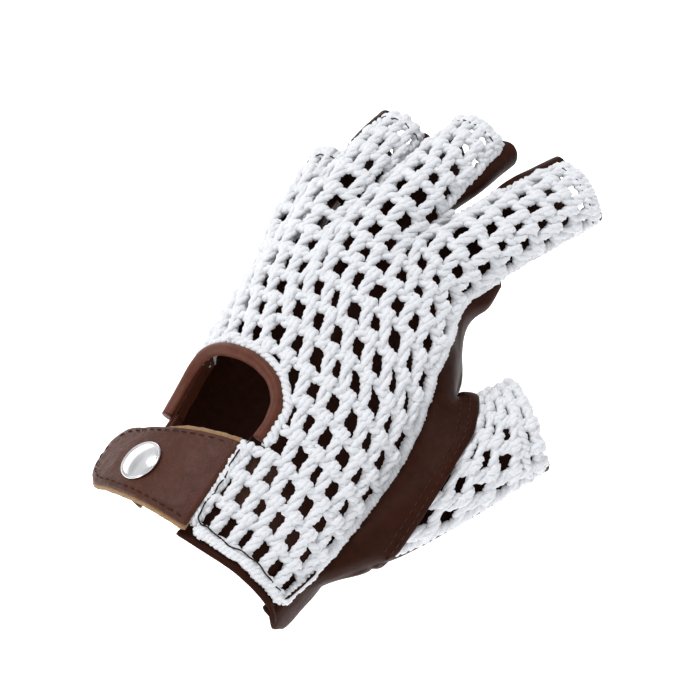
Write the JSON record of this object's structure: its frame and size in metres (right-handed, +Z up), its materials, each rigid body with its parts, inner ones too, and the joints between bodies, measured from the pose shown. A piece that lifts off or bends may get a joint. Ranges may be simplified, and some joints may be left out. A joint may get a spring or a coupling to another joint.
{
  "type": "fingerless driving glove",
  "caption": "Fingerless left driving glove: crochet cotton back, leather palm, fourchettes and thumb panel, bound keyhole opening and a wrist strap closed by a snap.",
  "frame": {"origin": "centre of the glove's outline on the surface that its palm lies on", "axes": "+Z up through the back of the hand, +Y from the wrist to the fingers, +X to the thumb side of this left-hand glove"},
  "size_m": [0.1208, 0.1824, 0.0457],
  "materials": {
    "cotton": "thick twisted cotton yarn, fuzzy and matt",
    "leather": "smooth dark brown glove leather, fine grain, soft sheen",
    "binding_leather": "rolled brown leather binding",
    "suede": "raw tan suede with cut edges",
    "thread": "near black sewing thread",
    "nickel": "polished nickel",
    "spring_steel": "bright spring wire"
  },
  "bodies": {
    "hand": {"crochet_back": "cotton", "palm_leather": "leather", "thumb_panel": "leather", "keyhole_binding": "binding_leather", "wrist_flap": "leather", "wrist_facing": "leather", "edge_thread": "thread", "snap_stud": "nickel", "stud_post": "nickel"},
    "strap": {"strap_top": "leather", "strap_lining": "suede", "strap_thread": "thread", "snap_cap": "nickel", "snap_socket": "nickel", "socket_spring": "spring_steel"},
    "index_stall": {"index_crochet": "cotton", "index_sides": "leather", "index_palm": "leather", "index_thread": "thread"},
    "middle_stall": {"middle_crochet": "cotton", "middle_sides": "leather", "middle_palm": "leather", "middle_thread": "thread"},
    "ring_stall": {"ring_crochet": "cotton", "ring_sides": "leather", "ring_palm": "leather", "ring_thread": "thread"},
    "little_stall": {"little_crochet": "cotton", "little_sides": "leather", "little_palm": "leather", "little_thread": "thread"},
    "thumb_stall": {"thumb_crochet": "cotton", "thumb_leather": "leather"}
  },
  "joints": [
    {"name": "strap_open", "type": "hinge", "parent": "hand", "child": "strap", "pos_m": [-0.0152, -0.0684, 0.0443], "axis": [0, 1, 0], "range_deg": [0, 120]},
    {"name": "index_flex", "type": "hinge", "parent": "hand", "child": "index_stall", "pos_m": [0.00656, 0.04855, 0.01052], "axis": [-0.9135, 0.4067, 0], "range_deg": [0, 60], "stiffness_Nm_per_rad": 0.02},
    {"name": "middle_flex", "type": "hinge", "parent": "hand", "child": "middle_stall", "pos_m": [-0.01831, 0.05294, 0.01376], "axis": [-0.9848, 0.1736, 0], "range_deg": [0, 60], "stiffness_Nm_per_rad": 0.02},
    {"name": "ring_flex", "type": "hinge", "parent": "hand", "child": "ring_stall", "pos_m": [-0.03839, 0.0464, 0.01375], "axis": [-0.9986, 0.0523, 0], "range_deg": [0, 50], "stiffness_Nm_per_rad": 0.02},
    {"name": "little_flex", "type": "hinge", "parent": "hand", "child": "little_stall", "pos_m": [-0.05029, 0.03495, 0.0014], "axis": [-0.9986, -0.0523, 0], "range_deg": [0, 50], "stiffness_Nm_per_rad": 0.02},
    {"name": "thumb_flex", "type": "hinge", "parent": "hand", "child": "thumb_stall", "pos_m": [0.03155, -0.0339, 0.0016], "axis": [0, 1, 0], "range_deg": [0, 30], "stiffness_Nm_per_rad": 0.02}
  ],
  "couplings": [
    {"joint": "little_flex", "follows": "ring_flex", "ratio": 1}
  ]
}
